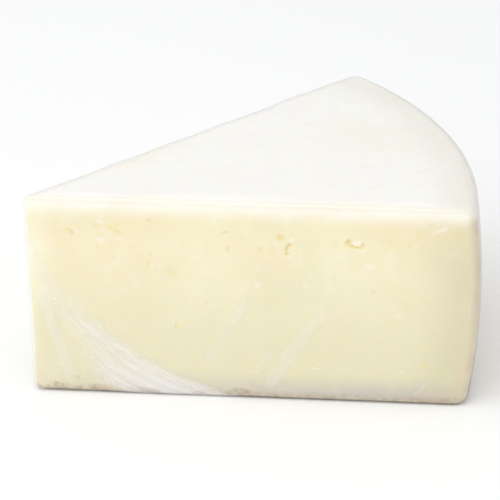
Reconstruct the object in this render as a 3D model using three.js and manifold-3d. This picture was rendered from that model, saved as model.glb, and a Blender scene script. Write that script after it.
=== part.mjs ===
// A wedge cut from a round of pressed cheese, wrapped in clear stretch film.
// Millimetres, +Z up. One cut face looks along -Y and the heel, which is the
// curved side of the round, lies towards +X. The origin is the middle of the
// footprint, on the surface that the wedge lies on.
import * as THREE from "three";
import { mergeVertices } from "three/addons/utils/BufferGeometryUtils.js";
import Module from "manifold-3d";

// The cheese.
const WHEEL_RADIUS = 148.5; // from the tip to the heel, where the heel is widest
const WHEEL_HEIGHT = 70.5;
const WEDGE_ANGLE = THREE.MathUtils.degToRad(48.9);
const HEEL_WIDEST = 45.3; // height at which the heel bulges furthest
const HEEL_BASE_INSET = 4.7; // how far the heel draws in from there to the base
const SHOULDER_RADIUS = 2.6; // top and bottom edges of the heel
const CUT_EDGE_RADIUS = 1; // top and bottom edges of the cut faces
const TIP_RADIUS = 0.6; // upright edge at the tip, the same on the film
const HEEL_CORNER_RADIUS = 2.5; // upright edges between the cut faces and the heel

// The film. Its wall is a stand-in: real film is about 0.012 thick.
const FILM_GAP = 0.3; // clearance between the cheese and the film
const FILM_WALL = 0.3;
const HEM_WIDTH = 14; // how far the film is folded under the base, all round
const HEM_CORNER_RADIUS = 5; // corners of the bare patch inside the hem

// The openings between curds that a cut lays bare. Each is placed on its cut
// face by shares of the face's length and height, with its own width, height
// and depth.
const FRONT_OPENINGS = [
  { along: 0.1, up: 0.83, width: 2.8, height: 2.4, depth: 1.2 },
  { along: 0.195, up: 0.85, width: 4.8, height: 2.2, depth: 1.2 },
  { along: 0.27, up: 0.67, width: 1.2, height: 4.4, depth: 1.2 },
  { along: 0.45, up: 0.77, width: 1.2, height: 2.8, depth: 1.2 },
  { along: 0.58, up: 0.79, width: 3.2, height: 6, depth: 2 },
  { along: 0.735, up: 0.81, width: 5.8, height: 2.8, depth: 2.4 },
  { along: 0.9, up: 0.92, width: 2.2, height: 2, depth: 1.4 },
  { along: 0.33, up: 0.36, width: 2.4, height: 2.4, depth: 1.2 },
  { along: 0.81, up: 0.43, width: 1.6, height: 2, depth: 1 },
  { along: 0.88, up: 0.2, width: 1.8, height: 2.6, depth: 1.2 },
];
const BACK_OPENINGS = [
  { along: 0.16, up: 0.62, width: 2.4, height: 2.0, depth: 1.2 },
  { along: 0.3, up: 0.85, width: 3.0, height: 1.8, depth: 1.4 },
  { along: 0.38, up: 0.3, width: 2.0, height: 3.2, depth: 1.2 },
  { along: 0.52, up: 0.7, width: 4.8, height: 2.6, depth: 2.0 },
  { along: 0.63, up: 0.47, width: 1.8, height: 1.8, depth: 1.0 },
  { along: 0.71, up: 0.86, width: 2.6, height: 4.0, depth: 1.6 },
  { along: 0.84, up: 0.58, width: 3.6, height: 2.2, depth: 1.6 },
  { along: 0.9, up: 0.28, width: 2.0, height: 2.4, depth: 1.2 },
];

// Facets along each stretch of the surface.
const FACE_STEPS = 12;
const HEEL_STEPS = 26;
const CORNER_STEPS = 4;
const TIP_STEPS = 5;
const EDGE_STEPS = 5;
const SIDE_STEPS = 7;
const OPENING_DETAIL = 1;

const wasm = await Module();
wasm.setup();

// A closed geometry as a manifold-3d solid.
function solidOf(geometry) {
  const bare = new THREE.BufferGeometry();
  bare.setAttribute("position", geometry.getAttribute("position"));
  bare.setIndex(geometry.index);
  const merged = mergeVertices(bare);
  return new wasm.Manifold(
    new wasm.Mesh({
      numProp: 3,
      vertProperties: merged.attributes.position.array,
      triVerts: new Uint32Array(merged.index.array),
    }),
  );
}

// A manifold-3d solid as a named mesh.
function meshOf(solid, name, material) {
  const { numProp, numVert, vertProperties, triVerts } = solid.getMesh();
  const position = new Float32Array(numVert * 3);
  for (let i = 0; i < numVert; i++) {
    position.set(vertProperties.subarray(i * numProp, i * numProp + 3), i * 3);
  }
  const geometry = new THREE.BufferGeometry();
  geometry.setAttribute("position", new THREE.BufferAttribute(position, 3));
  geometry.setIndex(new THREE.BufferAttribute(triVerts, 1));
  geometry.computeVertexNormals();
  const mesh = new THREE.Mesh(geometry, material);
  mesh.name = name;
  return mesh;
}

// Points on an arc, from one heading to the other.
function arc(centre, radius, from, to, steps) {
  return Array.from({ length: steps + 1 }, (_, i) => {
    const heading = from + ((to - from) * i) / steps;
    return new THREE.Vector2(
      centre.x + radius * Math.cos(heading),
      centre.y + radius * Math.sin(heading),
    );
  });
}

// Points between two others, without either of them.
function between(start, end, steps) {
  return Array.from({ length: steps - 1 }, (_, i) =>
    start.clone().lerp(end, (i + 1) / steps),
  );
}

// The plan of the wedge: a sector with its tip at the origin and one side
// along +X. Its two straight sides stand in by cut and its corners are rounded.
// It runs counter-clockwise from the tip's rounding.
function sectorOutline(cut, heelRadius, tipRadius, cornerRadius) {
  const half = WEDGE_ANGLE / 2;
  const toTip = (cut + tipRadius) / Math.sin(half);
  const tip = new THREE.Vector2(toTip * Math.cos(half), toTip * Math.sin(half));
  const up = cut + cornerRadius;
  const reach = heelRadius - cornerRadius;
  const corner = new THREE.Vector2(Math.sqrt(reach ** 2 - up ** 2), up);
  const bearing = corner.angle();
  const farBearing = WEDGE_ANGLE - bearing;
  const farCorner = new THREE.Vector2(
    reach * Math.cos(farBearing),
    reach * Math.sin(farBearing),
  );
  const frontNormal = -Math.PI / 2;
  const backNormal = WEDGE_ANGLE + Math.PI / 2;
  const origin = new THREE.Vector2();

  const tipArc = arc(
    tip,
    tipRadius,
    backNormal,
    2 * Math.PI + frontNormal,
    TIP_STEPS,
  );
  const nearArc = arc(corner, cornerRadius, frontNormal, bearing, CORNER_STEPS);
  const heelArc = arc(origin, heelRadius, bearing, farBearing, HEEL_STEPS);
  const farArc = arc(
    farCorner,
    cornerRadius,
    farBearing,
    backNormal,
    CORNER_STEPS,
  );
  return [
    ...tipArc,
    ...between(tipArc.at(-1), nearArc[0], FACE_STEPS),
    ...nearArc,
    ...heelArc.slice(1, -1),
    ...farArc,
    ...between(farArc.at(-1), tipArc[0], FACE_STEPS),
  ];
}

// How far a rounded edge stands in from its side, at a depth below its top.
function edgeInset(depth, radius) {
  const below = THREE.MathUtils.clamp(radius - depth, 0, radius);
  return radius - Math.sqrt(radius ** 2 - below ** 2);
}

// The wedge's outline at a height, with every face moved out by grow.
function outlineAt(z, grow) {
  const depth = Math.min(z, WHEEL_HEIGHT - z) + grow;
  const bulge = HEEL_BASE_INSET * ((z - HEEL_WIDEST) / HEEL_WIDEST) ** 2;
  const shoulder = edgeInset(depth, SHOULDER_RADIUS + grow);
  return sectorOutline(
    edgeInset(depth, CUT_EDGE_RADIUS + grow) - grow,
    WHEEL_RADIUS + grow - bulge - shoulder,
    TIP_RADIUS,
    HEEL_CORNER_RADIUS + grow,
  );
}

// Heights of the outlines, from the base to the top: close together round the
// edges, even up the sides.
function levels(grow) {
  const radius = SHOULDER_RADIUS + grow;
  const rise = Array.from(
    { length: EDGE_STEPS + 1 },
    (_, i) => radius * (1 - Math.cos((i * Math.PI) / 2 / EDGE_STEPS)),
  );
  const low = rise.map((r) => r - grow);
  const high = rise.map((r) => WHEEL_HEIGHT + grow - r).reverse();
  const side = Array.from(
    { length: SIDE_STEPS - 1 },
    (_, i) => low.at(-1) + ((high[0] - low.at(-1)) * (i + 1)) / SIDE_STEPS,
  );
  return [...low, ...side, ...high];
}

// The closed wedge shape: a stack of outlines with a flat cap at each end.
function wedgeSolid(grow) {
  const heights = levels(grow);
  const rings = heights.map((z) => outlineAt(z, grow));
  const count = rings[0].length;
  const positions = rings.flatMap((ring, k) =>
    ring.flatMap((p) => [p.x, p.y, heights[k]]),
  );
  const index = [];
  for (let k = 0; k < rings.length - 1; k++) {
    for (let i = 0; i < count; i++) {
      const a = k * count + i;
      const b = k * count + ((i + 1) % count);
      index.push(a, b, b + count, a, b + count, a + count);
    }
  }
  const last = (rings.length - 1) * count;
  for (const [a, b, c] of THREE.ShapeUtils.triangulateShape(rings[0], [])) {
    index.push(c, b, a);
  }
  for (const face of THREE.ShapeUtils.triangulateShape(rings.at(-1), [])) {
    index.push(...face.map((i) => i + last));
  }
  const geometry = new THREE.BufferGeometry();
  geometry.setAttribute(
    "position",
    new THREE.Float32BufferAttribute(positions, 3),
  );
  geometry.setIndex(index);
  return solidOf(geometry);
}

// One opening as an ellipsoid centred on a cut face that runs along bearing.
function openingSolid({ along, up, width, height, depth }, bearing) {
  const geometry = new THREE.IcosahedronGeometry(1, OPENING_DETAIL);
  geometry.deleteAttribute("normal");
  geometry.deleteAttribute("uv");
  geometry.scale(width / 2, depth, height / 2);
  geometry.translate(along * WHEEL_RADIUS, 0, up * WHEEL_HEIGHT);
  geometry.rotateZ(bearing);
  return solidOf(mergeVertices(geometry));
}

function makeCheese() {
  let solid = wedgeSolid(0);
  for (const opening of FRONT_OPENINGS) {
    solid = solid.subtract(openingSolid(opening, 0));
  }
  for (const opening of BACK_OPENINGS) {
    solid = solid.subtract(openingSolid(opening, WEDGE_ANGLE));
  }
  const material = new THREE.MeshStandardMaterial({
    color: 0xf1e6c8,
    roughness: 0.5,
    metalness: 0,
  });
  return meshOf(solid, "cheese_wedge", material);
}

// The film follows the cheese at a small clearance. Its edge is folded under
// the base as a hem, which leaves a bare patch in the middle.
function makeFilm() {
  const outside = FILM_GAP + FILM_WALL;
  const patch = new THREE.Shape(
    sectorOutline(
      HEM_WIDTH,
      WHEEL_RADIUS - HEEL_BASE_INSET - HEM_WIDTH,
      HEM_CORNER_RADIUS,
      HEM_CORNER_RADIUS,
    ),
  );
  const mouth = new THREE.ExtrudeGeometry(patch, {
    depth: 2 * outside,
    bevelEnabled: false,
  });
  mouth.translate(0, 0, -2 * outside);
  const solid = wedgeSolid(outside)
    .subtract(wedgeSolid(FILM_GAP))
    .subtract(solidOf(mouth));
  const material = new THREE.MeshStandardMaterial({
    color: 0xf7f7f4,
    roughness: 0.15,
    metalness: 0,
    transparent: true,
    opacity: 0.2,
  });
  return meshOf(solid, "cling_film", material);
}

const wedge = new THREE.Group();
wedge.add(makeCheese(), makeFilm());
const box = new THREE.Box3().setFromObject(wedge, true);
const middle = box.getCenter(new THREE.Vector3());
wedge.position.set(-middle.x, -middle.y, -box.min.z);

const part = new THREE.Group();
part.add(wedge);

export default part;
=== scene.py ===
import math

import bpy
import numpy as np
from bpy.props import FloatProperty, FloatVectorProperty, PointerProperty
from mathutils import Matrix, Vector


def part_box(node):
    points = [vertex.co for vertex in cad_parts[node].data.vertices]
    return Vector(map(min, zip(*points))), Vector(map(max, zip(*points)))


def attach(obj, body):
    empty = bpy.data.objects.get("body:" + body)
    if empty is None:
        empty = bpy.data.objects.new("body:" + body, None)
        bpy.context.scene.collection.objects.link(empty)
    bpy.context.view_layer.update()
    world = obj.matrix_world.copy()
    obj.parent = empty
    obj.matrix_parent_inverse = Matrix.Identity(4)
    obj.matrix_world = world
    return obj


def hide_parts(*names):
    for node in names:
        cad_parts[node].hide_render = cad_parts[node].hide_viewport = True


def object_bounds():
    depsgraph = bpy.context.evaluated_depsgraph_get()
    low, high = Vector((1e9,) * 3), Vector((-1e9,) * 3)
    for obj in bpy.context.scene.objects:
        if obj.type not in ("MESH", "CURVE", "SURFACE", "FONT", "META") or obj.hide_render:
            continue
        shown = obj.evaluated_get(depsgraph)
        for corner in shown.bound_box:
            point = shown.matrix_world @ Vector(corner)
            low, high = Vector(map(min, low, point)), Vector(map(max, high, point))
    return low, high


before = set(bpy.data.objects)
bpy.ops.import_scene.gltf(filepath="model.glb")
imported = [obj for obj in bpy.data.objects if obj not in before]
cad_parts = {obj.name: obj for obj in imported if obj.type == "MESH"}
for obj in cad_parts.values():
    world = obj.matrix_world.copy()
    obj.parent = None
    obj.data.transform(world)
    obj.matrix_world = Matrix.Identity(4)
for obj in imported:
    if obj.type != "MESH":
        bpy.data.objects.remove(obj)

bl_info = {
    "name": "Wrapped cheese wedge",
    "version": (1, 0, 0),
    "blender": (4, 5, 0),
    "location": "3D View > Sidebar > Cheese",
    "description": "Makes a wedge of pressed cheese in clear stretch film, and its stage",
    "category": "Add Mesh",
}

MM = 0.001
CAD_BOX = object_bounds()
CHEESE_LOW, CHEESE_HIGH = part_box("cheese_wedge")
HEIGHT = CHEESE_HIGH.z - CHEESE_LOW.z
# Rings of the flat top as shares of the way out from its middle, closer together towards the worn edge.
TOP_SHARES = 1 - np.linspace(0.05, 0.99, 24) ** 2
# Where the rings of the top and of the base close: its distance from the tip along a cut face, as a share of
# the radius.
POLE_SHARE = 0.66
# Over this distance from its rim the flat top's waves fade out, on the cheese and the film alike.
RIM_CALM = 6 * MM
# How far the long top edges have slumped, how much that varies along them, and how far in it reaches.
WEAR_DEPTH = 0.5 * MM
WEAR_SWING = 0.18 * MM
WEAR_REACH = 2.4 * MM
# The fan of pleats at the tip: its reach along the base and up the tip, and what its map gives to one whole
# level across the pleats and to one radian along them.
PLEAT_RUN = 71 * MM
PLEAT_RISE = 66 * MM
PLEAT_BAND = 50 * MM
PLEAT_ARC = 60 * MM
# Relief of the film besides its pleats and creases, and how near to the floor it may come.
PUCKER_HEIGHT = 0.05 * MM
GATHER_HEIGHT = 0.12 * MM
RIPPLE_HEIGHT = 0.03 * MM
TOP_WAVE_HEIGHT = 0.06 * MM
HEM_WAVE_HEIGHT = 0.12 * MM
FLOOR_GAP = 0.05 * MM
# Shares of the listed height and whiteness that a crease is given, and of the haze that is cleared over the
# painted shade of a pleat gap.
CREASE_RISE = 0.6
CREASE_WHITENING = 1.1
GAP_SHADE_CLEARING = 0.7
# Haze of the gathers at the foot, of the hem and of the tip's edge, and the white of a pucker: bunched film
# with a painted highlight of its glint.
GATHER_HAZE = 0.18
HEM_HAZE = 0.25
TIP_HAZE = 0.22
PUCKER_HAZE_AND_GLINT = 0.7
# How far the hem's inner edge wanders, as a share of its distance from the middle.
HEM_WANDER = 0.05
# Half the width of the floor, in metres.
FLOOR_HALF_WIDTH = 3.0
# Openings deeper than this, in millimetres, have the grid's columns drawn closer round them.
DEEP_OPENING = 0.5

# Openings between curds that the cuts lay bare, each in millimetres on its cut face: along from the tip,
# up from the base, width, height, depth, and its tilt in degrees. Ragged ones are made of a few that
# overlap.
NEAR_OPENINGS = [
    (106.2, 57.6, 2.5, 1.8, 0.72, 35),
    (107.4, 56.4, 1.8, 1.2, 0.61, -30),
    (109.0, 55.9, 3.6, 1.0, 0.55, 0),
    (110.9, 56.8, 1.1, 2.2, 0.55, -25),
    (84.2, 58.4, 2.9, 2.3, 0.5, -20),
    (87.1, 55.9, 2.0, 1.4, 0.66, -35),
    (86.1, 54.6, 1.2, 2.4, 0.61, -12),
    (86.2, 52.8, 1.6, 1.1, 0.5, -20),
    (14.2, 59.1, 2.0, 1.1, 0.33, -25),
    (15.6, 58.2, 1.4, 2.0, 0.5, 20),
    (23.6, 61.1, 1.6, 1.2, 0.28, 0),
    (28.3, 60.3, 2.4, 1.5, 0.28, -20),
    (30.4, 59.0, 3.4, 1.3, 0.33, -32),
    (30.6, 61.4, 1.2, 2.4, 0.19, 20),
    (23.8, 53.0, 1.7, 0.9, 0.33, -45),
    (17.3, 44.9, 1.6, 0.9, 0.28, 0),
    (41.2, 63.1, 1.8, 1.3, 0.39, 10),
    (41.2, 51.0, 1.5, 1.2, 0.39, 0),
    (40.3, 47.1, 1.1, 4.4, 0.39, -4),
    (47.9, 44.3, 6.5, 1.6, 0.22, -30),
    (66.4, 59.9, 2.5, 1.1, 0.33, 5),
    (71.7, 58.1, 1.7, 0.9, 0.28, 0),
    (66.9, 54.0, 1.0, 2.6, 0.39, -6),
    (61.8, 42.8, 1.5, 0.7, 0.28, -15),
    (77.6, 53.7, 1.7, 2.6, 0.22, -8),
    (79.2, 48.2, 1.7, 0.4, 0.22, 0),
    (78.9, 68.0, 2.4, 1.2, 0.17, 0),
    (103.2, 68.4, 2.4, 0.7, 0.28, 4),
    (109.6, 70.4, 4.4, 1.4, 0.14, 0),
    (119.8, 57.8, 1.7, 1.6, 0.17, 0),
    (126.1, 58.1, 1.3, 1.2, 0.14, 0),
    (133.7, 64.7, 2.0, 1.6, 0.44, 10),
    (130.0, 61.6, 6.6, 0.9, 0.17, 42),
    (137.0, 67.6, 4.4, 0.7, 0.14, 42),
    (111.4, 50.1, 1.8, 0.8, 0.22, 15),
    (114.0, 40.2, 1.1, 1.4, 0.33, 10),
    (120.5, 30.5, 1.4, 1.9, 0.28, 20),
    (116.8, 21.6, 1.2, 1.2, 0.33, 30),
    (130.7, 13.9, 1.4, 2.4, 0.39, 12),
    (49.0, 25.0, 1.9, 1.7, 0.44, -30),
    (59.3, 34.4, 1.4, 1.0, 0.28, -10),
    (72.2, 20.7, 1.3, 1.0, 0.28, 0),
    (77.1, 14.1, 1.1, 0.7, 0.28, 0),
    (74.7, 14.2, 0.9, 0.6, 0.22, 0),
    (94.6, 29.8, 2.2, 0.6, 0.14, 4),
]
FAR_OPENINGS = [
    (23.8, 43.7, 2.4, 1.6, 0.44, 20),
    (44.6, 59.9, 3.2, 1.6, 0.5, -12),
    (47.0, 58.6, 1.6, 2.0, 0.44, 10),
    (56.4, 21.2, 1.4, 3.2, 0.44, -8),
    (75.6, 49.8, 3.0, 1.8, 0.61, 15),
    (78.6, 48.6, 2.4, 1.2, 0.61, -35),
    (80.2, 50.4, 1.2, 2.2, 0.5, 0),
    (93.6, 33.1, 1.8, 1.4, 0.33, 0),
    (105.4, 61.6, 1.4, 2.8, 0.5, 5),
    (106.2, 59.2, 2.4, 1.4, 0.5, -20),
    (124.7, 40.9, 3.6, 1.4, 0.44, 12),
    (133.7, 19.7, 1.6, 2.4, 0.39, 0),
    (33.0, 28.4, 1.4, 1.0, 0.28, 0),
    (63.8, 64.2, 2.0, 0.9, 0.28, 8),
    (68.2, 36.0, 1.2, 1.2, 0.33, 0),
    (88.5, 56.4, 1.4, 1.0, 0.28, -15),
    (98.0, 16.5, 1.6, 1.2, 0.33, 0),
    (116.0, 52.5, 1.4, 1.8, 0.33, 20),
    (17.0, 60.5, 1.6, 1.0, 0.33, 0),
]

# Soft marks on the near cut face, in millimetres: along, up, width, height, tilt in degrees, and strength.
# Pale flecks are curds with more fat, beside the openings.
PALE_FLECKS = [
    (109.3, 57.6, 3.4, 1.8, 0, 0.9),
    (110.6, 54.6, 3.0, 1.0, 10, 0.4),
    (112.8, 49.3, 3.2, 1.8, -15, 0.8),
    (87.7, 57.8, 1.7, 1.6, 0, 0.8),
    (83.0, 57.0, 1.6, 3.0, -20, 0.4),
    (87.0, 51.6, 2.0, 1.4, 0, 0.4),
    (16.9, 58.8, 1.6, 2.4, 0, 0.5),
    (25.2, 62.3, 2.2, 1.6, 0, 0.7),
    (27.0, 58.6, 4.0, 1.0, -10, 0.4),
    (25.2, 55.6, 3.2, 2.2, 0, 0.6),
    (31.4, 55.8, 4.2, 1.6, 0, 0.5),
    (136.0, 62.9, 5.6, 1.4, 20, 0.7),
    (133.4, 61.6, 2.6, 1.6, 0, 0.5),
    (128.2, 57.2, 1.8, 1.6, 0, 0.5),
    (115.9, 56.4, 2.2, 1.6, 0, 0.4),
    (76.4, 41.0, 2.2, 1.8, 0, 0.7),
    (91.9, 41.6, 2.6, 2.2, 0, 0.4),
    (105.4, 40.4, 2.2, 2.6, 0, 0.4),
    (60.4, 47.7, 1.5, 1.0, 0, 0.6),
    (122.4, 31.6, 3.0, 2.6, 0, 0.4),
    (61.8, 33.0, 3.4, 1.4, 0, 0.4),
    (53.6, 34.0, 2.4, 1.6, 0, 0.3),
    (103.6, 52.6, 1.6, 3.0, -30, 0.3),
    (138.6, 54.2, 2.4, 1.4, 0, 0.3),
]
# Moist places show greener. Brown-grey marks along the bottom edge, between the pleats, are painted shade of
# the gaps where the film bunches under, in the colour of the rind that peeks out there.
GREEN_MARKS = [
    (136.9, 10.4, 6.4, 6.4, 0, 0.9),
    (135.9, 15.0, 5.0, 8.0, 0, 0.4),
    (6.0, 20.0, 9.0, 22.0, 0, 0.3),
    (84.0, 40.0, 22.0, 16.0, 0, 0.2),
]
PLEAT_GAP_SHADES = [
    (8.6, 2.0, 6.6, 2.6, 0, 0.8),
    (14.8, 4.9, 4.6, 1.8, -10, 0.5),
    (21.3, 1.6, 6.0, 2.2, 0, 1.0),
    (38.3, 1.2, 9.0, 2.0, -6, 0.4),
    (55.0, 0.9, 5.0, 1.2, 0, 0.4),
    (70.2, 1.6, 7.0, 2.6, -10, 1.0),
    (75.5, 4.0, 8.0, 1.0, -14, 0.6),
    (96.0, 0.8, 9.0, 1.2, 0, 0.4),
    (112.0, 0.8, 7.0, 1.4, 0, 0.5),
    (128.5, 1.2, 9.0, 1.8, 0, 0.7),
    (142.0, 1.4, 6.0, 2.0, 0, 0.6),
    (137.0, 0.6, 18.0, 2.6, 0, 0.7),
]

# Straight creases in the film on a cut face, in millimetres: both ends as along and up, then width,
# height and how white the bunched film is.
CREASES = [
    (103.5, 38.5, 77.0, 2.5, 2.6, 0.12, 0.46),
    (85.5, 21.5, 73.5, 8.5, 1.5, 0.06, 0.32),
    (75.5, 42.0, 57.5, 10.5, 2.0, 0.08, 0.36),
    (84.5, 52.5, 75.5, 42.5, 2.2, 0.05, 0.16),
    (3.8, 44.0, 13.2, 0.5, 2.0, 0.10, 0.50),
    (18.0, 18.0, 28.6, 0.3, 2.4, 0.12, 0.50),
    (6.0, 26.0, 18.0, 21.5, 1.6, 0.06, 0.24),
    # A low ridge whose white is a painted highlight: the bright line of the film's gloss along the upright
    # corner by the heel.
    (145.3, 43.0, 145.3, 7.0, 0.6, 0.06, 0.50),
    (143.4, 37.0, 143.6, 12.0, 1.0, 0.03, 0.14),
    (132.0, 9.6, 127.0, 2.0, 1.1, 0.07, 0.24),
    (146.5, 60.0, 138.0, 54.0, 1.8, 0.06, 0.20),
    (139.5, 68.5, 131.0, 61.5, 2.0, 0.05, 0.14),
]
FAR_CREASES = [
    (4.5, 38.0, 15.0, 0.5, 2.0, 0.10, 0.45),
    (21.0, 20.0, 31.0, 0.3, 2.4, 0.12, 0.40),
    (62.0, 36.0, 55.0, 12.0, 1.8, 0.08, 0.30),
    (88.0, 66.0, 102.0, 44.0, 1.6, 0.06, 0.20),
    (118.0, 34.0, 98.0, 3.0, 2.4, 0.12, 0.38),
    (146.0, 64.0, 134.0, 52.0, 1.8, 0.08, 0.30),
    # A low ridge whose white is a painted highlight: the bright line of the film's gloss along the upright
    # corner by the heel.
    (145.4, 40.0, 145.0, 9.0, 0.7, 0.06, 0.40),
]
# Small puckers where the film is bunched; their white is bunched film and a painted highlight of the glints
# caught on them: along, up, length, width, tilt in degrees, strength.
PUCKERS = [
    (69.0, 71.0, 2.0, 1.6, 60, 0.8),
    (32.0, 71.3, 3.2, 0.8, 4, 0.5),
    (43.5, 71.4, 2.0, 0.7, -4, 0.4),
    (94.8, 11.6, 3.8, 1.3, -3, 1.0),
    (123.1, 11.8, 3.2, 2.2, -20, 0.6),
    (117.6, 17.2, 3.0, 0.7, 66, 0.8),
    (133.6, 26.2, 2.4, 0.7, 0, 0.6),
    (21.6, 19.2, 2.6, 1.8, -25, 1.0),
    (12.7, 25.1, 4.4, 1.2, -12, 0.6),
    (27.9, 25.6, 3.2, 1.4, -30, 0.6),
    (34.9, 20.8, 3.2, 1.0, -40, 0.6),
    (48.3, 26.8, 2.0, 1.0, -10, 0.9),
    (14.6, 5.0, 2.0, 0.9, -30, 0.7),
    (23.6, 4.6, 1.6, 1.0, 20, 0.7),
    (13.0, 1.4, 1.8, 1.0, 0, 0.6),
    (146.0, 58.8, 3.0, 2.8, 20, 0.9),
    (146.6, 62.4, 2.4, 1.0, 20, 0.7),
    (141.5, 54.5, 3.2, 1.6, -15, 0.7),
    (144.0, 66.6, 1.8, 1.0, 10, 0.5),
    (101.5, 26.8, 1.8, 0.7, 0, 0.4),
    (64.6, 12.8, 2.2, 0.8, -15, 0.4),
]


def linear(code):
    """Linear colour of an sRGB hex code: c / 12.92 up to 0.04045, and ((c + 0.055) / 1.055) to the 2.4
    above it."""
    shares = [int(code[i : i + 2], 16) / 255 for i in (1, 3, 5)]
    return tuple(
        c / 12.92 if c <= 0.04045 else ((c + 0.055) / 1.055) ** 2.4 for c in shares
    )


def length_property(name, description, millimetres):
    """A size that the user can change, given in millimetres and kept in metres."""
    return FloatProperty(
        name=name,
        description=description,
        default=millimetres * MM,
        min=0,
        precision=4,
        unit="LENGTH",
    )


def colour_property(name, description, code):
    """A colour that the user can change, given as sRGB hex and kept linear."""
    return FloatVectorProperty(
        name=name,
        description=description,
        default=linear(code),
        size=3,
        min=0,
        max=1,
        subtype="COLOR",
    )


class WedgeShape(bpy.types.PropertyGroup):
    """Sizes of the wedge, the same as the solid has."""

    angle: FloatProperty(
        name="Wedge angle",
        description="Angle between the two cut faces",
        default=math.radians(48.9),
        subtype="ANGLE",
    )
    radius: length_property("Wheel radius", "From the tip to the heel at its widest", 148.5)
    heel_widest: length_property("Heel's widest height", "Where the heel bulges furthest", 45.3)
    heel_inset: length_property("Heel's base inset", "How far the heel draws in at the base", 4.7)
    shoulder: length_property("Shoulder radius", "Top and bottom edges of the heel", 2.6)
    cut_edge: length_property("Cut edge radius", "Top and bottom edges of the cut faces", 1.0)
    tip: length_property("Tip radius", "Upright edge at the tip", 0.6)
    corner: length_property("Heel corner radius", "Upright edges beside the heel", 2.5)


class CheeseLook(bpy.types.PropertyGroup):
    """Colours and surface of the cheese."""

    paste: colour_property("Paste", "Cut paste of the cheese", "#F5EECD")
    paste_warm: colour_property("Warm paste", "Warmer, denser patches of the paste", "#F4E8C4")
    paste_cool: colour_property("Cool paste", "Moister, greener patches of the paste", "#EDE8C4")
    paste_pale: colour_property("Pale curds", "Curds with more fat", "#FBF6E8")
    opening: colour_property("Openings", "Inside of the openings", "#F4E09C")
    face_rind: colour_property("Flat rind", "Rind on the flat sides of the round", "#FBF8F0")
    # Set darker than the rind is: it also holds painted shade of the heel, which turns away from the light.
    heel_rind_and_shade: colour_property("Heel rind", "Rind on the curved side of the round", "#DDD2B9")
    worn_rind: colour_property("Worn rind", "Brown-grey rind at the bottom edge", "#A8957C")
    unevenness: length_property("Unevenness", "How far the surfaces wander", 0.16)


class FilmLook(bpy.types.PropertyGroup):
    """Sizes and colours of the stretch film."""

    clearance: length_property("Clearance", "From the cheese to the film", 0.35)
    hem_width: length_property("Hem width", "How far the film is folded under the base", 14)
    hem_corner: length_property("Hem corner radius", "Corners of the bare patch inside the hem", 5)
    pleat_height: length_property("Pleat height", "How far the gathered pleats stand up", 0.10)
    haze: colour_property("Haze", "Bunched film, where many layers scatter light", "#FDFBFA")


class StageLook(bpy.types.PropertyGroup):
    """Camera and floor."""

    azimuth: FloatProperty(
        name="Azimuth",
        description="Camera's turn round the wedge from straight in front of the near cut face",
        default=math.radians(8.59),
        subtype="ANGLE",
    )
    elevation: FloatProperty(
        name="Elevation",
        description="Camera's angle above the floor",
        default=math.radians(25.48),
        subtype="ANGLE",
    )
    roll: FloatProperty(
        name="Roll",
        description="Camera's lean about its own line of sight",
        default=math.radians(-1.82),
        subtype="ANGLE",
    )
    distance: length_property("Distance", "From the camera to the point it looks at", 1172)
    aim: FloatVectorProperty(
        name="Aim",
        description="Point that the camera looks at",
        default=(-6.5 * MM, -13.4 * MM, 34.2 * MM),
        size=3,
        subtype="TRANSLATION",
        unit="LENGTH",
    )
    lens: FloatProperty(name="Lens", description="Focal length in millimetres", default=250, min=1)
    floor: colour_property("Floor", "Plain pale floor", "#F6F6F4")


# Numpy helpers.


def smooth(low, high, values):
    """0 below low and 1 above high, along 3 t squared minus 2 t cubed between; low may be the larger."""
    t = np.clip((values - low) / (high - low), 0, 1)
    return t * t * (3 - 2 * t)


def waves(points, wavelength, seed, count=20):
    """Soft noise of about -1 to 1: the sum of cosines in random directions, with wavelengths from 0.7 to
    1.4 times the one given, over the root of half their number, times 0.6."""
    chance = np.random.default_rng(seed)
    directions = chance.normal(size=(count, points.shape[-1]))
    directions /= np.linalg.norm(directions, axis=1, keepdims=True)
    steps = 2 * math.pi / (wavelength * chance.uniform(0.7, 1.4, count))
    phases = points @ (directions * steps[:, None]).T + chance.uniform(0, 2 * math.pi, count)
    return np.cos(phases).sum(-1) / math.sqrt(count / 2) * 0.6


def graded(count, centres, reach, gain):
    """Shares from 0 up to 1, without 1: the density is 1 plus gain times a bell of that reach round each
    centre, and each share stands for an equal part of its integral."""
    t = np.linspace(0, 1, 4001)
    bells = np.exp(-(((t[:, None] - np.array(centres)) / reach) ** 2)).max(1)
    total = np.cumsum(1 + gain * bells)
    total = (total - total[0]) / (total[-1] - total[0])
    return np.interp(np.arange(count) / count, total, t)


# The wedge's shape, shared by the cheese and the film.


def edge_inset(depth, radius):
    """How far a rounded edge stands in at a depth below its top: radius minus the root of radius squared
    minus the square of what is left of radius after depth."""
    left = np.clip(radius - depth, 0, radius)
    return radius - np.sqrt(radius**2 - left**2)


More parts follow.
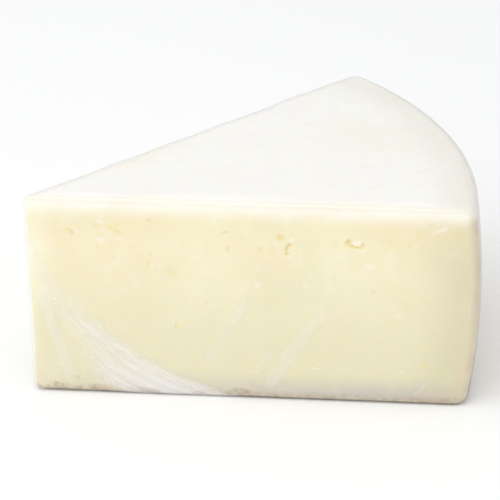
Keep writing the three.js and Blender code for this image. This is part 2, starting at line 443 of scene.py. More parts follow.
def sector_outline(angle, cut, heel, tip_radius, corner_radius, stations):
    """Plan of the wedge for each row, as (rows, columns, 2). A sector with its tip at the origin and one
    side along +X; the straight sides stand in by cut, the heel is an arc of radius heel about the origin,
    and each corner is an arc tangent to both of its neighbours. Stations hold the shares along each
    stretch."""
    half = angle / 2
    cut, heel = (np.asarray(v, float).reshape(-1) for v in np.broadcast_arrays(cut, heel))
    tip = ((cut + tip_radius) / math.sin(half))[:, None] * [math.cos(half), math.sin(half)]
    rise, reach = cut + corner_radius, heel - corner_radius
    near = np.stack([np.sqrt(reach**2 - rise**2), rise], -1)
    bearing = np.arctan2(near[:, 1], near[:, 0])
    far = reach[:, None] * np.stack([np.cos(angle - bearing), np.sin(angle - bearing)], -1)

    def arc(centre, radius, start, end, shares):
        start, end, radius = (np.broadcast_to(v, cut.shape)[:, None] for v in (start, end, radius))
        heading = start + (end - start) * shares
        return centre[:, None] + radius[..., None] * np.stack([np.cos(heading), np.sin(heading)], -1)

    def line(start, end, shares):
        return start[:, None] + (end - start)[:, None] * shares[:, None]

    down, back = np.array([0.0, -1.0]), np.array([-math.sin(angle), math.cos(angle)])
    return np.concatenate(
        [
            line(tip + down * tip_radius, near + down * corner_radius, stations["near"]),
            arc(near, corner_radius, -math.pi / 2, bearing, stations["near_corner"]),
            arc(np.zeros_like(near), heel, bearing, angle - bearing, stations["heel"]),
            arc(far, corner_radius, angle - bearing, angle + math.pi / 2, stations["far_corner"]),
            line(far + back * corner_radius, tip + back * tip_radius, stations["far"]),
            arc(tip, tip_radius, angle + math.pi / 2, 1.5 * math.pi, stations["tip"]),
        ],
        axis=1,
    )


def heel_bulge(shape, heights):
    """How far the heel stands in from its widest: its base inset times the square of the distance from
    the widest height, taken as a share of that height."""
    return shape.heel_inset * ((heights - shape.heel_widest) / shape.heel_widest) ** 2


def side_rows(shape, grow, heights, stations):
    """Outlines at heights above the cheese's base, with every face moved out by grow. The heel draws in
    by its bulge, and the top and bottom edges round over."""
    depth = np.minimum(heights, HEIGHT - heights) + grow
    plan = sector_outline(
        shape.angle,
        edge_inset(depth, shape.cut_edge + grow) - grow,
        shape.radius + grow - heel_bulge(shape, heights) - edge_inset(depth, shape.shoulder + grow),
        shape.tip,
        shape.corner + grow,
        stations,
    )
    return np.concatenate([plan, np.broadcast_to(heights[:, None, None], plan.shape[:2] + (1,))], -1)


def wall_heights(shape, grow, shares, edge_rows):
    """Heights from the base to the top: a quarter round's cosine steps at each end, the given shares
    between."""
    radius = shape.shoulder + grow
    rise = radius * (1 - np.cos(np.linspace(0, math.pi / 2, edge_rows + 1)))
    low, high = rise - grow, (HEIGHT + grow - rise)[::-1]
    return np.concatenate([low, low[-1] + (high[0] - low[-1]) * shares[1:], high])


def cap_rows(ring, centre, shares):
    """Rings between a centre and an outline, each at its share of the way out."""
    return centre + (ring - centre) * np.asarray(shares)[:, None, None]


def pole_place(shape, height):
    """The point that the rings of the top or the base close on, midway between the two cut faces."""
    out = POLE_SHARE * shape.radius
    return np.array([out, out * math.tan(shape.angle / 2), height])


def placed(points, shape):
    """From the sector's own frame, with its tip at the origin and the base at zero, to the frame of the
    CAD."""
    return points + [CHEESE_HIGH.x - shape.radius, CHEESE_LOW.y, CHEESE_LOW.z]


def inward_places(points, shape):
    """Distances inwards, in metres, from the nearer of the two cut faces and from the heel."""
    far_run = points[..., 0] * math.sin(shape.angle) - points[..., 1] * math.cos(shape.angle)
    run = np.maximum(np.minimum(points[..., 1], far_run), 0)
    reach = shape.radius - heel_bulge(shape, points[..., 2])
    return run, reach - np.hypot(points[..., 0], points[..., 1])


def edge_wear(points, run):
    """Distance from the long top edges, and how far they have slumped: a depth that varies in soft waves
    along the edge, times e to minus the square of the distance over its reach."""
    distance = np.hypot(run, np.maximum(HEIGHT - points[..., 2], 0))
    level = WEAR_DEPTH + WEAR_SWING * waves(points * [1, 1, 0], 22 * MM, 8)
    return distance, level * np.exp(-((distance / WEAR_REACH) ** 2))


def grid_normals(points):
    """Unit normals: the cross product of the steps along the columns, which close on themselves, and the
    rows."""
    across = np.roll(points, -1, 1) - np.roll(points, 1, 1)
    normals = np.cross(across, np.gradient(points, axis=0))
    return normals / np.maximum(np.linalg.norm(normals, axis=-1, keepdims=True), 1e-12)


def face_places(points, angle):
    """Along and up of every point, in metres: along is the distance from the tip edge on either cut face,
    taken as the larger of its runs along the two cuts."""
    other = points[..., 0] * math.cos(angle) + points[..., 1] * math.sin(angle)
    return np.maximum(points[..., 0], other), points[..., 2]


def grid_mesh(name, points, closed_below):
    """A mesh object from a grid of points whose columns close on themselves: one quad per cell, a fan to
    a pole at the top and, if closed_below, one at the bottom. Rows run upwards and columns
    counter-clockwise from above."""
    rows, columns = points.shape[:2]
    index = np.arange(rows * columns).reshape(rows, columns)
    right = np.roll(index, -1, 1)
    quads = np.stack([index[:-1], right[:-1], right[1:], index[1:]], -1).reshape(-1, 4)
    top = np.full(columns, rows * columns)
    fans = [np.stack([top, index[-1], right[-1]], -1)]
    poles = [points[-1].mean(0)]
    if closed_below:
        fans.append(np.stack([top + 1, right[0], index[0]], -1))
        poles.append(points[0].mean(0))
    vertices = np.concatenate([points.reshape(-1, 3), poles])
    mesh = bpy.data.meshes.new(name)
    mesh.from_pydata(vertices.tolist(), [], quads.tolist() + np.concatenate(fans).tolist())
    mesh.polygons.foreach_set("use_smooth", np.ones(len(mesh.polygons), bool))
    mesh.update()
    thing = bpy.data.objects.new(name, mesh)
    bpy.context.scene.collection.objects.link(thing)
    return thing


def keep_values(thing, name, grid):
    """Stores a grid of values as a float attribute; each pole takes the mean of the ring beside it."""
    mesh = thing.data
    poles = [grid[-1].mean(), grid[0].mean()][: len(mesh.vertices) - grid.size]
    attribute = mesh.attributes.new(name, "FLOAT", "POINT")
    attribute.data.foreach_set("value", np.append(grid.reshape(-1), poles).astype(np.float32))


def keep_map(thing, name, across, lengthwise):
    """Stores two grids as a UV map, one value of each for every vertex of a face."""
    mesh = thing.data
    missing = len(mesh.vertices) - across.size
    pairs = np.stack([across.reshape(-1), lengthwise.reshape(-1)], -1)
    pairs = np.concatenate([pairs, np.repeat(pairs[-1:], missing, 0)])
    corners = np.zeros(len(mesh.loops), np.int32)
    mesh.loops.foreach_get("vertex_index", corners)
    mesh.uv_layers.new(name=name).data.foreach_set("uv", pairs[corners].reshape(-1).astype(np.float32))


def columns_of(stations, wanted):
    """Marks the columns of the named stretches."""
    order = ["near", "near_corner", "heel", "far_corner", "far", "tip"]
    return np.concatenate([np.full(len(stations[name]), name in wanted) for name in order])


def turned(along, up, place, tilt):
    """Coordinates about a place on a cut face, turned by a tilt in degrees, in millimetres."""
    across, rise = along / MM - place[0], up / MM - place[1]
    lean = math.radians(tilt)
    return (
        across * math.cos(lean) + rise * math.sin(lean),
        rise * math.cos(lean) - across * math.sin(lean),
    )


def soft_marks(along, up, marks, flatness=2):
    """Strength, 0 to 1, of soft marks on a cut face: a turned bell for each, the strongest where they
    overlap. A bell is e to minus the sum of its two offsets, each 1.9 times over the mark's width or height,
    to the power of twice the flatness."""
    total = np.zeros_like(along)
    for place_along, place_up, width, height, tilt, strength in marks:
        p, q = turned(along, up, (place_along, place_up), tilt)
        bell = np.exp(-((1.9 * p / width) ** (2 * flatness)) - (1.9 * q / height) ** (2 * flatness))
        total = np.maximum(total, strength * bell)
    return total


# The cheese.


def opening_depths(along, up, openings):
    """Depth of the openings over a cut face, in metres. Each is a turned ellipse whose rim wanders by
    three waves of its bearing; it falls smoothly from the rim to its full depth in the inner half."""
    depth = np.zeros_like(along)
    for number, (place_along, place_up, width, height, deep, tilt) in enumerate(openings):
        p, q = turned(along, up, (place_along, place_up), tilt)
        p, q = p / (width / 2), q / (height / 2)
        bearing = np.arctan2(q, p)
        rim = 1 + 0.16 * np.sin(2 * bearing + number) + 0.12 * np.sin(3 * bearing + 1.7 * number)
        rim += 0.07 * np.sin(7 * bearing + 2.3 * number)
        reach = np.hypot(p, q) / rim
        depth = np.maximum(depth, deep * MM * smooth(1.1, 0.45, reach))
    return depth


def deep_places(openings, shape):
    """Where the deepest openings lie, as shares of the way from the tip to the heel."""
    return [along * MM / shape.radius for along, _, _, _, deep, _ in openings if deep > DEEP_OPENING]


def cheese_grid(shape):
    """The smooth wedge as a closed grid. The columns of its wall stand closer near the deepest openings,
    and the rows closer in the upper part, where most of those are."""
    near = deep_places(NEAR_OPENINGS, shape)
    far = [1 - share for share in deep_places(FAR_OPENINGS, shape)]
    stations = {
        "near": graded(250, near, reach=0.016, gain=1.2),
        "near_corner": np.arange(8) / 8,
        "heel": np.arange(96) / 96,
        "far_corner": np.arange(8) / 8,
        "far": graded(170, far, reach=0.018, gain=1.2),
        "tip": np.arange(6) / 6,
    }
    heights = wall_heights(shape, 0, graded(112, [0.8], reach=0.14, gain=1.1), edge_rows=8)
    wall = side_rows(shape, 0, heights, stations)
    base = cap_rows(wall[0], pole_place(shape, 0), np.linspace(0.04, 0.98, 11))
    top = cap_rows(wall[-1], pole_place(shape, HEIGHT), TOP_SHARES)
    points = np.concatenate([base, wall, top])
    on_wall = np.zeros(points.shape[:2], bool)
    on_wall[len(base) : len(base) + len(wall)] = True
    return points, on_wall, stations


def make_cheese(shape, look):
    """The cheese: the smooth wedge, moved along its normals by soft waves of two sizes, by cutting marks
    on the cut faces and a pressed grain elsewhere, and inwards by the depth of the openings and the wear
    of the edges."""
    points, on_wall, stations = cheese_grid(shape)
    along, up = face_places(points, shape.angle)
    on_near = on_wall & columns_of(stations, ["near", "tip"])
    on_far = on_wall & columns_of(stations, ["far"])
    on_cut = on_near | on_far
    inside = smooth(0, 2 * MM, np.minimum(up, HEIGHT - up))
    depth = np.where(on_near, opening_depths(along, up, NEAR_OPENINGS), 0)
    depth += np.where(on_far, opening_depths(along, up, FAR_OPENINGS), 0)
    drag = waves(np.stack([along * 0.15, up, points[..., 1] * 0.15], -1), 2.2 * MM, 5)
    swell = waves(points, 34 * MM, 2) + 0.35 * waves(points, 9 * MM, 3)
    press = 0.3 * waves(points, 3.5 * MM, 4)
    offset = look.unevenness * (swell + np.where(on_cut, 0.10 * drag, press))
    run, from_heel = inward_places(points, shape)
    from_edge, wear = edge_wear(points, run)
    calm = np.where(on_wall, inside, smooth(0, RIM_CALM, np.minimum(run, from_heel)))
    offset = offset * calm - depth * inside - wear
    points = points + grid_normals(points) * offset[..., None]
    points[..., 2] = np.maximum(points[..., 2], 0)
    near_heel = smooth(0.3 * MM, 3.5 * MM, from_heel) * ~columns_of(stations, ["heel"])

    cheese = grid_mesh("cheese_wedge_body", placed(points, shape), closed_below=True)
    keep_values(cheese, "opening", depth / MM)
    keep_values(cheese, "pale", np.where(on_near, soft_marks(along, up, PALE_FLECKS), 0))
    keep_values(cheese, "moist", np.where(on_near, soft_marks(along, up, GREEN_MARKS), 0))
    # The pleat gaps' painted shade at the bottom edge, in the rind's brown-grey.
    keep_values(cheese, "pleat_gap_shade", np.where(on_near, soft_marks(along, up, PLEAT_GAP_SHADES), 0))
    keep_values(cheese, "from_tip", along / MM)
    keep_values(cheese, "below_top", (HEIGHT - up) / MM)
    keep_values(cheese, "above_base", up / MM)
    keep_values(cheese, "from_heel", from_heel / MM)
    keep_values(cheese, "cut_face", on_wall * inside * near_heel)
    keep_values(cheese, "from_edge", from_edge / MM)
    cheese.data.materials.append(pressed_cheese(look))
    return cheese


# The film.


def pleat_level(along, up):
    """Which pleat of the gathered tip corner a point lies on: the shares of the fan's run and rise, each
    to the power of 0.7, summed, and that to the power of 1 / 0.7. It is 1 on the outermost pleat and 0 at
    the corner."""
    power = 0.7
    run, rise = np.maximum(along, 0) / PLEAT_RUN, np.maximum(up, 0) / PLEAT_RISE
    return (run**power + rise**power) ** (1 / power)


def pleat_places(along, up):
    """Places on the fan of pleats, in metres: across the pleats, and lengthwise down one of them."""
    bearing = np.arctan2(np.maximum(up, 0) / PLEAT_RISE, np.maximum(along, 0) / PLEAT_RUN)
    return pleat_level(along, up) * PLEAT_BAND, bearing * PLEAT_ARC


def ridge(values):
    """Sharp crests from soft noise: the square of what the size of the noise, at most 1, leaves of 1."""
    return (1 - np.clip(np.abs(values), 0, 1)) ** 2


def tip_pleats(along, up, seed):
    """Height, 0 to 1, and haze of the pleats that fan from the tip to the gather under the base. The
    bunch lies between the outermost level, whose edge wanders, and an inner level of 0.76 that drops to
    0.50 at the base. Its crests run down the fan and are about ten times as long as they are wide."""
    across, lengthwise = pleat_places(along, up)
    wander = 0.014 * waves(lengthwise[..., None], 15 * MM, seed)
    level = across / PLEAT_BAND + wander
    places = np.stack([across, lengthwise / 10], -1)
    broad, narrow = waves(places, 5.0 * MM, seed + 1), waves(places, 2.2 * MM, seed + 2)
    inner = 0.50 + 0.26 * smooth(0, 22 * MM, up)
    bunch = smooth(1.10, 0.88, level) * smooth(inner - 0.18, inner + 0.08, level)
    inside = smooth(1.02, 0.90, level) * smooth(0.02, 0.30, level)
    whiteness = 0.86 - 0.52 * smooth(2 * MM, 50 * MM, up)
    haze = bunch * whiteness * np.clip(0.88 + 0.13 * broad + 0.06 * narrow, 0, 1.05)
    haze = np.maximum(haze, inside * np.clip(0.12 + 0.12 * broad + 0.06 * narrow, 0, 1))
    crests = 0.5 + 0.32 * broad + 0.18 * narrow
    stand = smooth(1.04, 0.86, level) * smooth(0.02, 0.30, level)
    return stand * (0.3 + 0.7 * crests) * (0.4 + 0.6 * bunch), haze


def crease_lines(along, up, creases):
    """Height, in metres, and haze of the straight creases: a bell across each line that bows a little,
    fading in and out over the line's ends."""
    height, haze = np.zeros_like(along), np.zeros_like(along)
    for start_along, start_up, end_along, end_up, width, stand, white in creases:
        run = np.array([end_along - start_along, end_up - start_up])
        length = np.linalg.norm(run)
        run = run / length
        p, q = along / MM - start_along, up / MM - start_up
        t = (p * run[0] + q * run[1]) / length
        bow = 0.35 * width * np.sin(4 * t + start_along)
        off = (q * run[0] - p * run[1] - bow) / width
        ends = smooth(0, 0.35, t) * smooth(1.05, 0.85, t) * (0.85 + 0.15 * np.sin(11 * t + start_up))
        bell = np.exp(-(off**2))
        height += CREASE_RISE * stand * MM * ends * bell
        haze = np.maximum(haze, CREASE_WHITENING * white * ends * bell)
    return height, haze


def hem_gathers(points, up):
    """Gathers along the foot of the walls, 0 to 1, where the film turns under: crests about 3 mm apart
    that lean a little, come and go along the edge and die away within 6 mm of the base."""
    lean = points[..., 2] * 0.25
    places = np.stack([points[..., 0] + lean, points[..., 1] + lean, points[..., 2] * 0.15], -1)
    strength = smooth(-0.3, 0.9, waves(points[..., :2], 24 * MM, 30))
    return ridge(1.2 * waves(places, 5 * MM, 31)) * smooth(6 * MM, 0, up) * strength


def film_grid(shape, look):
    """The film's grid: rings from the hem's inner edge out to the foot, up the wall and over the top to a
    pole."""
    stations = {
        "near": graded(262, [0.0, 0.15, 0.3, 0.985], reach=0.12, gain=0.9),
        "near_corner": np.arange(10) / 10,
        "heel": np.arange(104) / 104,
        "far_corner": np.arange(10) / 10,
        "far": graded(190, [0.75, 1.0], reach=0.16, gain=0.6),
        "tip": np.arange(8) / 8,
    }
    grow = look.clearance
    heights = wall_heights(shape, grow, graded(112, [0.0, 0.12], reach=0.2, gain=0.8), edge_rows=7)
    wall = side_rows(shape, grow, heights, stations)
    mouth = sector_outline(
        shape.angle,
        [look.hem_width],
        [shape.radius - shape.heel_inset - look.hem_width],
        look.hem_corner,
        look.hem_corner,
        stations,
    )
    mouth = np.concatenate([mouth, np.full(mouth.shape[:2] + (1,), -grow)], -1)
    shares = np.linspace(0, 1, 15)[:-1, None, None]
    hem = mouth + (wall[:1] - mouth) * shares
    top = cap_rows(wall[-1], pole_place(shape, HEIGHT + grow), TOP_SHARES)
    return np.concatenate([hem, wall, top]), len(hem), len(wall), stations


def make_film(shape, look):
    """The film: a skin at a small clearance over the smooth wedge, raised by its pleats, creases and
    puckers, with a gathered hem under the base whose inner edge wanders."""
    points, hem_rows, wall_rows, stations = film_grid(shape, look)
    rows = np.arange(len(points))[:, None] * np.ones(points.shape[1])
    on_hem = rows < hem_rows
    on_top = rows >= hem_rows + wall_rows
    cut_columns = columns_of(stations, ["near", "far", "tip"])
    on_cut = cut_columns & ~on_hem & ~on_top
    along, up = face_places(points, shape.angle)
    pleats, pleat_haze = tip_pleats(along, up, 11)
    near_face = on_cut & columns_of(stations, ["near", "tip"])
    near_height, near_haze = crease_lines(along, up, CREASES)
    far_height, far_haze = crease_lines(along, up, FAR_CREASES)
    creases = np.where(near_face, near_height, far_height)
    crease_haze = np.where(near_face, near_haze, far_haze)
    puckers = np.where(near_face, soft_marks(along, up, PUCKERS, 1), 0)
    # Where the pleat gaps' shade is painted, the film's haze is cleared so that it shows through.
    bare = np.where(near_face, soft_marks(along, up, PLEAT_GAP_SHADES), 0)
    gathers = np.where(on_hem | on_top, 0, hem_gathers(points, up)) * np.where(cut_columns, 1, 2)
    edge = smooth(0, 2.5 * MM, HEIGHT - up)

    height = look.pleat_height * np.where(on_cut, pleats, 0) * smooth(-1 * MM, 3 * MM, up)
    height += np.where(on_cut, creases, 0) * edge
    height += PUCKER_HEIGHT * puckers + GATHER_HEIGHT * gathers
    run, from_heel = inward_places(points, shape)
    calm = smooth(0, RIM_CALM, np.minimum(run, from_heel))
    ripple = RIPPLE_HEIGHT * edge * waves(points, 6 * MM, 21)
    height += np.where(on_top, TOP_WAVE_HEIGHT * calm * waves(points, 26 * MM, 22), ripple)
    height -= edge_wear(points, run)[1]
    points = points + grid_normals(points) * height[..., None]

    inward = smooth(0, 1, 1 - rows / hem_rows) * on_hem
    bearing = points[..., :2] - points[:, :, :2].mean((0, 1))
    folds = waves(np.stack([np.arctan2(bearing[..., 1], bearing[..., 0])] * 2, -1), 0.16, 41)
    points[..., :2] += bearing * (HEM_WANDER * folds * inward)[..., None]
    points[..., 2] += np.where(on_hem, HEM_WAVE_HEIGHT * waves(points * [1, 1, 0], 3 * MM, 42), 0)
    points[..., 2] = np.maximum(points[..., 2], -CHEESE_LOW.z + FLOOR_GAP)

    film = grid_mesh("cling_film_wrap", placed(points, shape), closed_below=False)
    # Less haze over the painted shade of the pleat gaps.
    outside_gap_shades = 1 - GAP_SHADE_CLEARING * bare
    haze = np.where(on_cut, crease_haze * outside_gap_shades, 0)
    haze = haze + GATHER_HAZE * gathers + np.where(on_hem, HEM_HAZE, 0)
    haze += np.where(on_cut, TIP_HAZE * smooth(3.0 * MM, 0, along), 0)
    bunched = np.where(on_cut, pleat_haze * outside_gap_shades, 0)
    # The puckers' white is bunched film and a painted highlight of their glints.
    keep_values(film, "pleats", np.maximum(bunched, PUCKER_HAZE_AND_GLINT * puckers))
    keep_values(film, "haze", np.clip(haze, 0, 1))
    across, lengthwise = pleat_places(along, up)
    keep_map(film, "pleat_map", across / MM, lengthwise / MM)
    film.data.materials.append(stretch_film(look))
    return film


# Materials.

# Noise that the cheese's coats of colour follow: the length of a patch in millimetres, and its detail.
CHEESE_NOISES = {
    "drifts": (55, 2.0),
    "clouds": (30, 2.0),
    "pools": (22, 2.0),
    "blooms": (16, 3.0),
    "mottles": (7, 4.0),
    "curds": (4, 2.0),
    "streaks": (2.4, 3.0),
    "pits": (1.8, 1.0),
    "flakes": (1.6, 2.0),
    "specks": (1.5, 3.0),
    "grain": (0.9, 3.0),
}
# Values that the cheese keeps for its coats; the lengths among them are in millimetres.
CHEESE_VALUES = [
    "opening",
    "pale",
    "moist",
    "pleat_gap_shade",
    "from_tip",
    "below_top",
    "above_base",
    "from_heel",
    "cut_face",
    "from_edge",
]
# Coats of colour, each over the last: the field it follows, that field's values where the coat starts and
# where it is full, its strength, its colour as a setting or sRGB hex, and, if it is broken up, a second
# field with its values.
PASTE_COATS = [
    ("clouds", 0.40, 0.68, 1.0, "paste_warm"),
    ("pools", 0.46, 0.72, 0.7, "paste_cool"),
    ("mottles", 0.52, 0.74, 0.4, "paste_pale"),
    ("curds", 0.58, 0.76, 0.4, "#F0DDAE"),
    # Paler near the tip edge: painted light, the glow of light coming through the thin tip.
    ("from_tip", 12.0, 0.0, 0.5, "#FBFBE6"),
    # Darker towards the bottom over the lower 58 mm: painted shade of the foot of the cut faces.
    ("ragged_above_base", 58.0, 8.0, 0.75, "#E5DFBC"),
    # A grey band along the base: the base rind and, above it, painted shade.
    ("ragged_above_base", 9.0, -2.0, 1.0, "#C4BCB8", "from_tip", -40.0, 150.0),
    # Darker paste towards the heel: paste nearer the rind, and painted shade of the side away from the
    # light.
    ("ragged_from_heel", 23.0, 0.0, 0.62, "#D4CAA5"),
    ("below_top", 24.0, 8.0, 0.35, "#F0E1B4"),
    ("moist", 0.0, 1.0, 1.0, "#DCD9B2"),
    ("pale", 0.0, 1.0, 0.8, "#FCF6EE", "flakes", 0.1, 0.62),
    ("opening", 0.02, 0.24, 0.8, "#F0E3A6"),
    ("opening", 0.22, 0.60, 0.9, "opening"),
    # The white band under the top edge: the top rind's edge, widened with a painted highlight of the film's
    # glare along it.
    ("ragged_below_top", 6.5, -1.5, 0.9, "face_rind"),
]
RIND_COATS = [
    ("mottles", 0.35, 0.75, 0.7, "#D0C2A8"),
    ("blooms", 0.45, 0.75, 0.35, "#C6AA88"),
    ("below_top", 5.0, 0.5, 1.0, "face_rind"),
    ("mottles", 0.5, 0.75, 0.5, "#F7F0E2", "below_top", 5.0, 0.5),
    ("drifts", 0.42, 0.66, 0.6, "#F9F1E0", "below_top", 5.0, 0.5),
    # Painted shade of the shoulder: the top greys within 18 mm of the heel's rim.
    ("ragged_from_heel", 18.0, 0.0, 0.7, "#E9E6D9", "below_top", 5.0, 0.5),
]
EDGE_COATS = [
    # Painted shade along the long top edges: a duller cream that damps their highlight.
    ("from_edge", 3.2, 0.0, 0.8, "#E9E6D6"),
    ("above_base", 3.4, 0.3, 0.7, "worn_rind", "streaks", 0.7, 0.35),
    # Painted shade of the gaps between the pleats, brown-grey like the rind, broken into specks.
    ("pleat_gap_shade", 0.0, 1.0, 0.75, "#B09882", "specks", 0.36, 0.62),
]


def add_node(owner, kind, inputs=None, output=0, **settings):
    """Adds a node to a material or world and gives back one of its outputs, if it has any. Settings are
    its own properties, and each input, by name or number, takes another node's output or a plain
    value."""
    tree = owner.node_tree
    node = tree.nodes.new(kind)
    for name, value in settings.items():
        setattr(node, name, value)
    for name, value in (inputs or {}).items():
        if isinstance(value, bpy.types.NodeSocket):
            tree.links.new(value, node.inputs[name])
        else:
            node.inputs[name].default_value = value
    return node.outputs[output] if node.outputs else None


def new_material(name):
    """An empty node material."""
    material = bpy.data.materials.new(name)
    material.use_nodes = True
    material.node_tree.nodes.clear()
    return material


def shade(look, colour):
    """A linear colour with full cover, from the name of a setting or from sRGB hex."""
    return (*(linear(colour) if colour.startswith("#") else getattr(look, colour)), 1)


def coated(material, look, fields, colour, coats):
    """Lays coats of colour over a colour. A coat's share rises smoothly between its two field values, and is
    multiplied by that of the second field, if there is one."""
    for field, start, full, strength, paint, *breaks in coats:
        share = add_node(
            material,
            "ShaderNodeMapRange",
            {0: fields[field], 1: start, 2: full, 4: strength},
            interpolation_type="SMOOTHSTEP",
        )
        if breaks:
            share = add_node(
                material,
                "ShaderNodeMapRange",
                {0: fields[breaks[0]], 1: breaks[1], 2: breaks[2], 4: share},
                interpolation_type="SMOOTHSTEP",
            )
        mix = {0: share, 6: colour, 7: shade(look, paint)}
        colour = add_node(material, "ShaderNodeMix", mix, 2, data_type="RGBA")
    return colour


def pressed_cheese(look):
    """Pressed semi-hard cheese, cut with a wire. Fat and protein scatter light just under the surface, so
    it is soft-edged and creamy; the cut face has a satin, slightly greasy sheen, and the rind is paler
    and drier."""
    cheese = new_material("semi_hard_cheese_pressed_and_cut")
    place = add_node(cheese, "ShaderNodeTexCoord", output="Object")
    fields = {}
    for name, (size, detail) in CHEESE_NOISES.items():
        settings = {"Vector": place, "Scale": 1 / (size * MM), "Detail": detail, "Roughness": 0.55}
        fields[name] = add_node(cheese, "ShaderNodeTexNoise", settings, "Fac")
    for name in CHEESE_VALUES:
        fields[name] = add_node(cheese, "ShaderNodeAttribute", output="Fac", attribute_name=name)
    for name in ("below_top", "above_base", "from_heel"):
        # Boundaries wander by up to 4 mm with the mottles.
        wander = {0: fields["mottles"], 1: -4.0, 2: fields[name]}
        fields["ragged_" + name] = add_node(cheese, "ShaderNodeMath", wander, operation="MULTIPLY_ADD")

    paste = coated(cheese, look, fields, shade(look, "paste"), PASTE_COATS)
    # The heel's rind colour holds painted shade of the heel as well as its own beige.
    rind = coated(cheese, look, fields, shade(look, "heel_rind_and_shade"), RIND_COATS)
    faces = {0: fields["cut_face"], 6: rind, 7: paste}
    colour = add_node(cheese, "ShaderNodeMix", faces, 2, data_type="RGBA")
    colour = coated(cheese, look, fields, colour, EDGE_COATS)

    pits = add_node(cheese, "ShaderNodeMapRange", {0: fields["pits"], 1: 0.62, 2: 0.75, 4: -0.6})
    surface = add_node(cheese, "ShaderNodeMath", {0: fields["grain"], 1: pits}, operation="ADD")
    bump = add_node(cheese, "ShaderNodeBump", {"Strength": 0.25, "Distance": 0.25 * MM, "Height": surface})
    sheen = add_node(cheese, "ShaderNodeMapRange", {0: fields["mottles"], 1: 0.3, 2: 0.7, 3: 0.42, 4: 0.58})
    shader = add_node(
        cheese,
        "ShaderNodeBsdfPrincipled",
        {
            "Base Color": colour,
            "Roughness": sheen,
            "Normal": bump,
            "Subsurface Weight": 0.35,
            "Subsurface Radius": (1.0, 0.62, 0.3),
            "Subsurface Scale": 3.0 * MM,
            "IOR": 1.45,
        },
    )
    add_node(cheese, "ShaderNodeOutputMaterial", {"Surface": shader})
    return cheese


def stretch_film(look):
    """Clear polyethylene stretch film, blown and pulled tight. One layer is clear with a sharp, wavering
    gloss; where it is bunched into pleats its many layers scatter light and look white."""
    film = new_material("polyethylene_stretch_film")
    place = add_node(film, "ShaderNodeTexCoord", output="Object")
    pleat_map = add_node(film, "ShaderNodeUVMap", uv_map="pleat_map")
    # Two sorts of strands make the film cloudy: its value on the mesh, its coordinates, the size and lean
    # of a strand, the share of that value in the faintest and the strongest strands, where cloudiness
    # starts and is full with its amount at both, and its limit. The creases' strands are 14 mm long and
    # 0.9 mm apart, and lean as the creases do. They stay under a quarter cloudy, above which dotted
    # outlines show round them. The pleats' are 16 mm long and 1.4 mm apart, in the millimetres of their
    # own map.
    along_creases = (14 * MM, 3 * MM, 0.9 * MM)
    along_pleats = (1.4, 16, 1)
    crease_lean = math.radians(-53.6)
    strands = [
        ("haze", place, along_creases, crease_lean, (0.75, 1.2), (0.0, 1.0, 0.03, 1.0), 0.24),
        ("pleats", pleat_map, along_pleats, 0, (0.9, 1.1), (0.02, 1.0, 0.0, 0.68), 1.0),
    ]
    # A single layer is 3% cloudy.
    cloudy = 0.03
    for name, vector, size, lean, shares, steps, limit in strands:
        faint, strong = shares
        clear_to, full_at, least, most = steps
        amount = add_node(film, "ShaderNodeAttribute", output="Fac", attribute_name=name)
        settings = {"Vector": vector, "Rotation": (0, lean, 0), "Scale": size}
        laid = add_node(film, "ShaderNodeMapping", settings, vector_type="TEXTURE")
        noise = {"Vector": laid, "Scale": 1.0, "Detail": 2.0, "Roughness": 0.6}
        strand = add_node(film, "ShaderNodeTexNoise", noise, "Fac")
        lively = add_node(film, "ShaderNodeMapRange", {0: strand, 1: 0.3, 2: 0.7, 3: faint, 4: strong})
        streaked = add_node(film, "ShaderNodeMath", {0: amount, 1: lively}, operation="MULTIPLY")
        rise = {0: streaked, 1: clear_to, 2: full_at, 3: least, 4: most}
        layers = add_node(film, "ShaderNodeMapRange", rise, interpolation_type="SMOOTHSTEP")
        held = add_node(film, "ShaderNodeMath", {0: layers, 1: limit}, operation="MINIMUM")
        cloudy = add_node(film, "ShaderNodeMath", {0: held, 1: cloudy}, operation="MAXIMUM")

    wrinkle_noise = {"Vector": place, "Scale": 1 / (9 * MM), "Detail": 3.0, "Distortion": 0.6}
    wrinkles = add_node(film, "ShaderNodeTexNoise", wrinkle_noise, "Fac")
    bump = add_node(film, "ShaderNodeBump", {"Strength": 0.3, "Distance": 0.4 * MM, "Height": wrinkles})
    clear = add_node(film, "ShaderNodeBsdfTransparent")
    white = add_node(film, "ShaderNodeBsdfDiffuse", {"Color": shade(look, "haze"), "Normal": bump})
    body = add_node(film, "ShaderNodeMixShader", {0: cloudy, 1: clear, 2: white})
    gloss = add_node(film, "ShaderNodeBsdfGlossy", {"Roughness": 0.18, "Normal": bump})
    # Both sides of a thin film mirror alike: 6% face on, rising with the fifth power towards the edge.
    facing = add_node(film, "ShaderNodeLayerWeight", {"Blend": 0.5, "Normal": bump}, "Facing")
    grazing = add_node(film, "ShaderNodeMath", {0: facing, 1: 5.0}, operation="POWER")
    mirror = add_node(film, "ShaderNodeMath", {0: grazing, 1: 0.94, 2: 0.06}, operation="MULTIPLY_ADD")
    skin = add_node(film, "ShaderNodeMixShader", {0: mirror, 1: body, 2: gloss})
    add_node(film, "ShaderNodeOutputMaterial", {"Surface": skin})
    return film


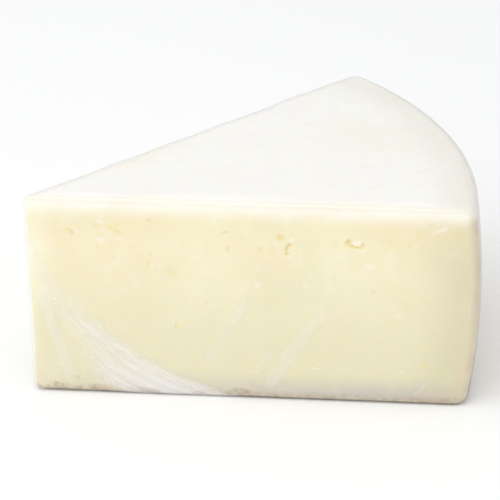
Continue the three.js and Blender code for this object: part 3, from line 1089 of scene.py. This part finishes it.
def matt_board(look):
    """Matt painted board: a plain pale floor with a trace of tone so that it isn't dead flat."""
    board = new_material("painted_board_matt")
    place = add_node(board, "ShaderNodeTexCoord", output="Object")
    tone = add_node(board, "ShaderNodeTexNoise", {"Vector": place, "Scale": 3.0, "Detail": 2.0}, "Fac")
    colour = coated(board, look, {"tone": tone}, shade(look, "floor"), [("tone", 0.3, 0.7, 0.15, "#F1F1EF")])
    shader = add_node(board, "ShaderNodeBsdfPrincipled", {"Roughness": 0.9, "Base Color": colour})
    add_node(board, "ShaderNodeOutputMaterial", {"Surface": shader})
    return board


# The stage.


def make_floor(look):
    """A square floor on which the object lies, with its middle under the wedge."""
    mesh = bpy.data.meshes.new("floor")
    half = FLOOR_HALF_WIDTH
    corners = [(x * half, y * half, CAD_BOX[0].z) for x, y in ((-1, -1), (1, -1), (1, 1), (-1, 1))]
    mesh.from_pydata(corners, [], [(0, 1, 2, 3)])
    floor = bpy.data.objects.new("floor", mesh)
    bpy.context.scene.collection.objects.link(floor)
    mesh.materials.append(matt_board(look))


def make_camera(look):
    """A camera at its azimuth and elevation about the aim, leaning by the roll."""
    data = bpy.data.cameras.new("camera")
    data.lens = look.lens
    data.clip_start, data.clip_end = 0.01, 20
    camera = bpy.data.objects.new("camera", data)
    bpy.context.scene.collection.objects.link(camera)
    a, e = look.azimuth, look.elevation
    back = Vector((math.sin(a) * math.cos(e), -math.cos(a) * math.cos(e), math.sin(e)))
    turn = (-back).to_track_quat("-Z", "Y").to_matrix().to_4x4() @ Matrix.Rotation(look.roll, 4, "Z")
    camera.matrix_world = Matrix.Translation(Vector(look.aim) + back * look.distance) @ turn
    bpy.context.scene.camera = camera


def area_light(name, place, target, size, power):
    """A square softbox at a place, facing a target."""
    data = bpy.data.lights.new(name, "AREA")
    data.size, data.energy = size, power
    light = bpy.data.objects.new(name, data)
    bpy.context.scene.collection.objects.link(light)
    light.location = place
    light.rotation_euler = (Vector(target) - Vector(place)).to_track_quat("-Z", "Y").to_euler()


def make_lights():
    """A big softbox above and to the front left, and an even pale room round it."""
    middle = (CAD_BOX[0] + CAD_BOX[1]) / 2
    area_light("key_softbox", place=(-0.40, -0.62, 0.98), target=middle, size=1.6, power=8.8)
    world = bpy.data.worlds.new("pale_room")
    world.use_nodes = True
    world.node_tree.nodes.clear()
    sky = add_node(world, "ShaderNodeBackground", {"Color": (*linear("#FBFCFF"), 1), "Strength": 0.82})
    add_node(world, "ShaderNodeOutputWorld", {"Surface": sky})
    bpy.context.scene.world = world


class CHEESE_OT_stage(bpy.types.Operator):
    """Make the floor, the lights and the camera"""

    bl_idname = "cheese.stage"
    bl_label = "Stage"

    def execute(self, context):
        look = context.scene.cheese_stage
        make_camera(look)
        make_floor(look)
        make_lights()
        context.scene.view_settings.view_transform = "Standard"
        return {"FINISHED"}


class CHEESE_OT_cheese(bpy.types.Operator):
    """Make the wedge of cheese, with its cut faces, openings and rind"""

    bl_idname = "cheese.wedge"
    bl_label = "Cheese wedge"

    def execute(self, context):
        cheese = make_cheese(context.scene.cheese_shape, context.scene.cheese_look)
        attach(cheese, "root")
        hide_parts("cheese_wedge")
        return {"FINISHED"}


class CHEESE_OT_film(bpy.types.Operator):
    """Make the clear film that wraps the wedge, with its pleats, creases and gathered hem"""

    bl_idname = "cheese.film"
    bl_label = "Stretch film"

    def execute(self, context):
        film = make_film(context.scene.cheese_shape, context.scene.cheese_film)
        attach(film, "root")
        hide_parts("cling_film")
        return {"FINISHED"}


class CHEESE_PT_panel(bpy.types.Panel):
    """Sizes, colours and the operators that make the pieces"""

    bl_idname = "CHEESE_PT_panel"
    bl_label = "Wrapped cheese wedge"
    bl_space_type = "VIEW_3D"
    bl_region_type = "UI"
    bl_category = "Cheese"

    def draw(self, context):
        scene = context.scene
        for group in (scene.cheese_shape, scene.cheese_look, scene.cheese_film, scene.cheese_stage):
            box = self.layout.box()
            for name in group.__annotations__:
                box.prop(group, name)
        for operator in (CHEESE_OT_stage, CHEESE_OT_cheese, CHEESE_OT_film):
            self.layout.operator(operator.bl_idname)


GROUPS = {
    "cheese_shape": WedgeShape,
    "cheese_look": CheeseLook,
    "cheese_film": FilmLook,
    "cheese_stage": StageLook,
}
CLASSES = (*GROUPS.values(), CHEESE_OT_stage, CHEESE_OT_cheese, CHEESE_OT_film, CHEESE_PT_panel)


def register():
    for cls in CLASSES:
        bpy.utils.register_class(cls)
    for name, group in GROUPS.items():
        setattr(bpy.types.Scene, name, PointerProperty(type=group))


def unregister():
    for name in GROUPS:
        delattr(bpy.types.Scene, name)
    for cls in reversed(CLASSES):
        bpy.utils.unregister_class(cls)


def main():
    register()
    bpy.ops.cheese.stage()
    bpy.ops.cheese.wedge()
    bpy.ops.cheese.film()


if __name__ == "__main__":
    main()
